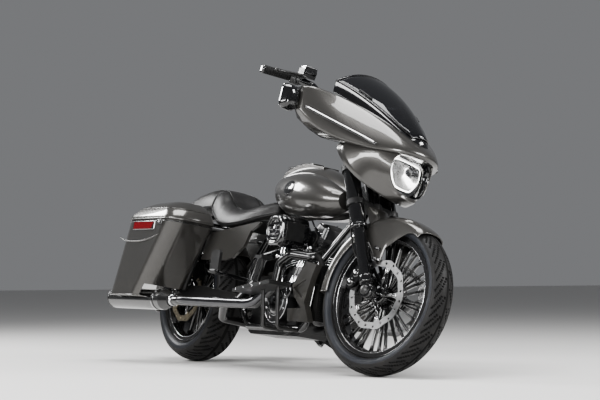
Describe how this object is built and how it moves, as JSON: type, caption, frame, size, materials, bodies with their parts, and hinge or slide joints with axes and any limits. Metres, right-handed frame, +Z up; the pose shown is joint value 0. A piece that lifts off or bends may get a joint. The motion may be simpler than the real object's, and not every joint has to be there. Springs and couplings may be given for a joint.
{
  "type": "touring motorcycle",
  "caption": "Touring cruiser motorcycle with a V-twin, fork-mounted fairing and hard saddlebags with hinged lids, leaning on its folding side stand.",
  "frame": {"origin": "on the floor under the middle of the bounding box", "axes": "+X points forward along the machine, +Y to the rider's left, +Z up; the machine leans to its left on its side stand"},
  "size_m": [2.3122, 1.0318, 1.3798],
  "materials": {
    "paint": "gloss",
    "gloss_black": "gloss",
    "satin_black": "satin",
    "wheel_black": "gloss",
    "engine_black": "satin",
    "exhaust_black": "satin",
    "bright_steel": "polished",
    "disc_steel": "brushed",
    "cooler": "matte",
    "dash_plastic": "matte",
    "tyre": "matte",
    "rubber": "matte",
    "leather": "satin",
    "smoked_screen": "gloss",
    "lamp_lens": "gloss",
    "marker_lens": "gloss",
    "red_lens": "gloss"
  },
  "bodies": {
    "front_wheel": {"front_tyre": "tyre", "front_rim": "wheel_black", "front_discs": "disc_steel"},
    "rear_wheel": {"rear_tyre": "tyre", "rear_rim": "wheel_black", "rear_disc_and_pulley": "disc_steel"},
    "steering": {"front_axle": "bright_steel", "fork_legs": "gloss_black", "triple_trees": "satin_black", "front_fender": "paint", "front_calipers": "gloss_black", "fairing_outer": "paint", "fairing_inner": "dash_plastic", "headlamp": "lamp_lens", "windscreen": "smoked_screen", "fairing_lights": "marker_lens", "handlebar": "gloss_black", "grips": "rubber", "hand_controls": "satin_black", "mirrors": "gloss_black"},
    "chassis": {"frame": "gloss_black", "swingarm": "satin_black", "shocks": "satin_black", "drive_belt": "rubber", "engine_case": "engine_black", "cylinders": "engine_black", "cylinder_heads": "engine_black", "cam_cover": "engine_black", "primary_cover": "engine_black", "air_cleaner": "engine_black", "exhaust_headers": "exhaust_black", "mufflers": "exhaust_black", "radiator": "cooler", "radiator_shroud": "paint", "fuel_tank": "paint", "seat_rider": "leather", "seat_pillion": "leather", "rear_fender": "paint", "side_covers": "paint", "saddlebag_right": "paint", "saddlebag_left": "paint", "tail_lamps": "red_lens", "floorboards": "satin_black", "pedals": "satin_black", "rear_caliper": "gloss_black"},
    "side_stand": {"side_stand": "satin_black"},
    "fuel_door": {"fuel_door": "paint"},
    "lid_right": {"lid_right": "paint"},
    "lid_left": {"lid_left": "paint"},
    "passenger_board_right": {"passenger_board_right": "satin_black"},
    "passenger_board_left": {"passenger_board_left": "satin_black"}
  },
  "joints": [
    {"name": "steering", "type": "hinge", "parent": "chassis", "child": "steering", "pos_m": [0.68101, -0.03086, 0.6164], "axis": [-0.435, 0.1502, 0.8878], "range_deg": [-48.54, 21.46]},
    {"name": "front_wheel_spin", "type": "hinge", "parent": "steering", "child": "front_wheel", "pos_m": [0.81683, -0.0787, 0.3358], "axis": [-0.2114, 0.9414, -0.2629], "continuous": true},
    {"name": "rear_wheel_spin", "type": "hinge", "parent": "chassis", "child": "rear_wheel", "pos_m": [-0.80826, -0.08119, 0.32517], "axis": [-0.0006, 0.9859, -0.1671], "continuous": true},
    {"name": "side_stand_fold", "type": "hinge", "parent": "chassis", "child": "side_stand", "pos_m": [0.0985, 0.05671, 0.12996], "axis": [0.0402, 0.6595, 0.7506], "range_deg": [0, 95]},
    {"name": "lid_right_hinge", "type": "hinge", "parent": "chassis", "child": "lid_right", "pos_m": [-0.7093, -0.47165, 0.70793], "axis": [1, 0, -0.0038], "range_deg": [0, 85]},
    {"name": "lid_left_hinge", "type": "hinge", "parent": "chassis", "child": "lid_left", "pos_m": [-0.70987, 0.41372, 0.55787], "axis": [1, 0, -0.0038], "range_deg": [-85, 0]},
    {"name": "passenger_board_right_fold", "type": "hinge", "parent": "chassis", "child": "passenger_board_right", "pos_m": [-0.20326, -0.35899, 0.45514], "axis": [1, 0, -0.0038], "range_deg": [0, 90]},
    {"name": "passenger_board_left_fold", "type": "hinge", "parent": "chassis", "child": "passenger_board_left", "pos_m": [-0.20364, 0.22469, 0.35621], "axis": [1, 0, -0.0038], "range_deg": [-90, 0]},
    {"name": "fuel_door_hinge", "type": "hinge", "parent": "chassis", "child": "fuel_door", "pos_m": [0.05861, 0.06059, 0.9429], "axis": [1, 0, -0.0038], "range_deg": [-100, 0]}
  ]
}
